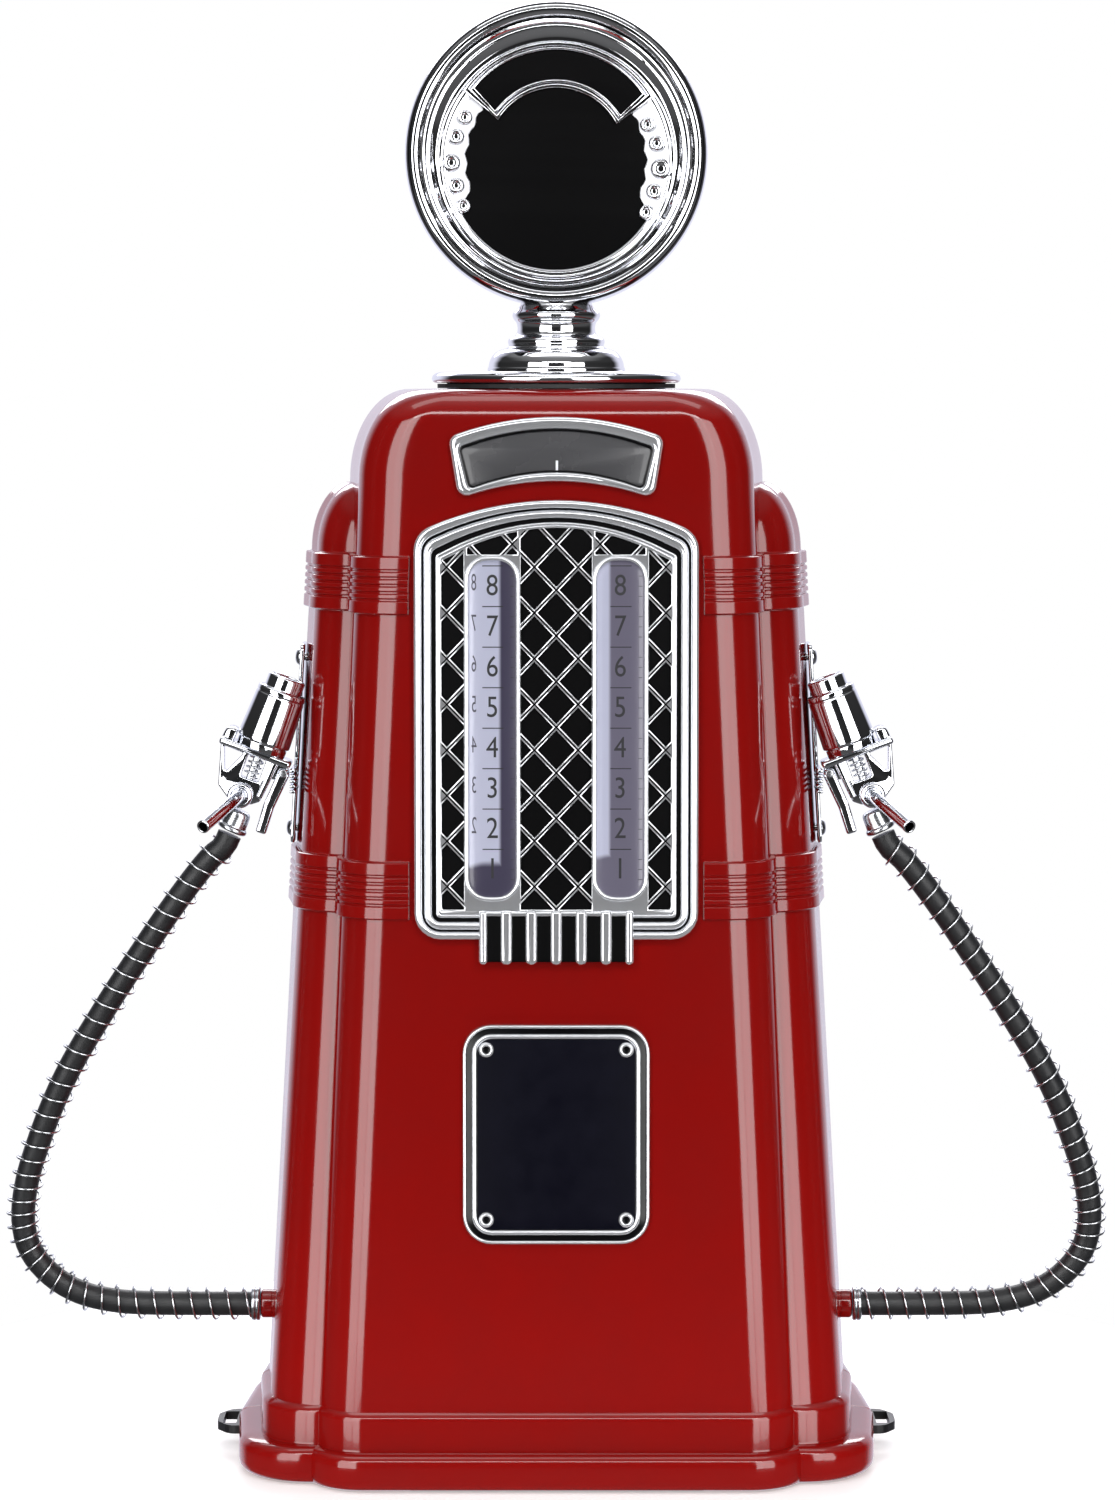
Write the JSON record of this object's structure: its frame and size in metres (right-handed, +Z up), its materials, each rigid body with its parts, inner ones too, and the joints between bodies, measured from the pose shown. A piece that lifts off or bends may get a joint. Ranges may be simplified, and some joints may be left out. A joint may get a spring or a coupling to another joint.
{
  "type": "gas pump drinks dispenser",
  "caption": "Countertop drinks dispenser shaped like a vintage gas pump, with a lift-off round sign, sight windows and hose-fed trigger nozzles in side holsters.",
  "frame": {"origin": "centre of the body on the surface the rubber feet stand on", "axes": "+Z up, the windows face -Y, +X to the right seen from the front"},
  "size_m": [0.372, 0.13, 0.485],
  "materials": {
    "red_gloss": "gloss moulded",
    "chrome_plate": "bright plated",
    "bright_steel": "bright drawn",
    "black_gloss": "gloss moulded",
    "display_grey": "satin printed",
    "hose_rubber": "matt",
    "clear_plastic": "clear moulded",
    "pipe_plastic": "natural"
  },
  "bodies": {
    "body": {"front_shell": "red_gloss", "rear_shell": "red_gloss", "base_plate": "black_gloss", "rubber_foot_front_left": "hose_rubber", "rubber_foot_front_right": "hose_rubber", "rubber_foot_rear_left": "hose_rubber", "rubber_foot_rear_right": "hose_rubber", "grille_panel": "chrome_plate", "grille_backing": "black_gloss", "sight_window_left": "clear_plastic", "sight_window_right": "clear_plastic", "display_frame": "chrome_plate", "display_face": "display_grey", "name_plate_frame": "chrome_plate", "name_plate_panel": "black_gloss", "name_plate_rivet_top_left": "chrome_plate", "name_plate_rivet_bottom_left": "chrome_plate", "name_plate_rivet_top_right": "chrome_plate", "name_plate_rivet_bottom_right": "chrome_plate", "tank_left": "clear_plastic", "tank_right": "clear_plastic", "outlet_pipe_left": "pipe_plastic", "outlet_pipe_right": "pipe_plastic", "hose_collar_left": "red_gloss", "hose_collar_right": "red_gloss", "hose_end_ring_left": "bright_steel", "hose_end_ring_right": "bright_steel", "hose_left": "hose_rubber", "hose_right": "hose_rubber", "hose_guard_left": "bright_steel", "hose_guard_right": "bright_steel", "holster_left": "chrome_plate", "holster_right": "chrome_plate", "holster_screw_upper_left": "chrome_plate", "holster_screw_lower_left": "chrome_plate", "holster_screw_upper_right": "chrome_plate", "holster_screw_lower_right": "chrome_plate"},
    "lid": {"top_plate": "chrome_plate", "lid_gasket": "black_gloss", "pedestal": "chrome_plate", "sign_rim": "chrome_plate", "sign_face_front": "chrome_plate", "sign_face_rear": "chrome_plate"},
    "nozzle_left": {"nozzle_barrel_left": "chrome_plate", "nozzle_body_left": "chrome_plate", "nozzle_spout_left": "chrome_plate", "hose_connector_left": "bright_steel", "trigger_pin_left": "chrome_plate", "trigger_spring_left": "bright_steel"},
    "trigger_left": {"trigger_left": "chrome_plate"},
    "valve_left": {"valve_stem_left": "bright_steel"},
    "nozzle_right": {"nozzle_barrel_right": "chrome_plate", "nozzle_body_right": "chrome_plate", "nozzle_spout_right": "chrome_plate", "hose_connector_right": "bright_steel", "trigger_pin_right": "chrome_plate", "trigger_spring_right": "bright_steel"},
    "trigger_right": {"trigger_right": "chrome_plate"},
    "valve_right": {"valve_stem_right": "bright_steel"}
  },
  "joints": [
    {"name": "lid_lift", "type": "slide", "parent": "body", "child": "lid", "axis": [0, 0, 1], "range_m": [0, 0.06]},
    {"name": "nozzle_lift_left", "type": "slide", "parent": "body", "child": "nozzle_left", "axis": [-0.35, 0, 0.9367], "range_m": [0, 0.04], "deforming": ["hose_left", "hose_guard_left"]},
    {"name": "trigger_pull_left", "type": "hinge", "parent": "nozzle_left", "child": "trigger_left", "pos_m": [-0.0904, -0.018, 0.2314], "axis": [0, 1, 0], "range_deg": [0, 6], "stiffness_Nm_per_rad": 0.35, "deforming": ["trigger_spring_left"]},
    {"name": "valve_push_left", "type": "slide", "parent": "nozzle_left", "child": "valve_left", "axis": [0.3551, 0, 0.9348], "range_m": [0, 0.00075], "deforming": ["trigger_spring_left"]},
    {"name": "nozzle_lift_right", "type": "slide", "parent": "body", "child": "nozzle_right", "axis": [0.35, 0, 0.9367], "range_m": [0, 0.04], "deforming": ["hose_right", "hose_guard_right"]},
    {"name": "trigger_pull_right", "type": "hinge", "parent": "nozzle_right", "child": "trigger_right", "pos_m": [0.0904, -0.018, 0.2314], "axis": [0, -1, 0], "range_deg": [0, 6], "stiffness_Nm_per_rad": 0.35, "deforming": ["trigger_spring_right"]},
    {"name": "valve_push_right", "type": "slide", "parent": "nozzle_right", "child": "valve_right", "axis": [-0.3551, 0, 0.9348], "range_m": [0, 0.00075], "deforming": ["trigger_spring_right"]}
  ],
  "couplings": [
    {"joint": "valve_push_left", "follows": "trigger_pull_left", "m_per_rad": 0.00715},
    {"joint": "valve_push_right", "follows": "trigger_pull_right", "m_per_rad": 0.00715}
  ]
}
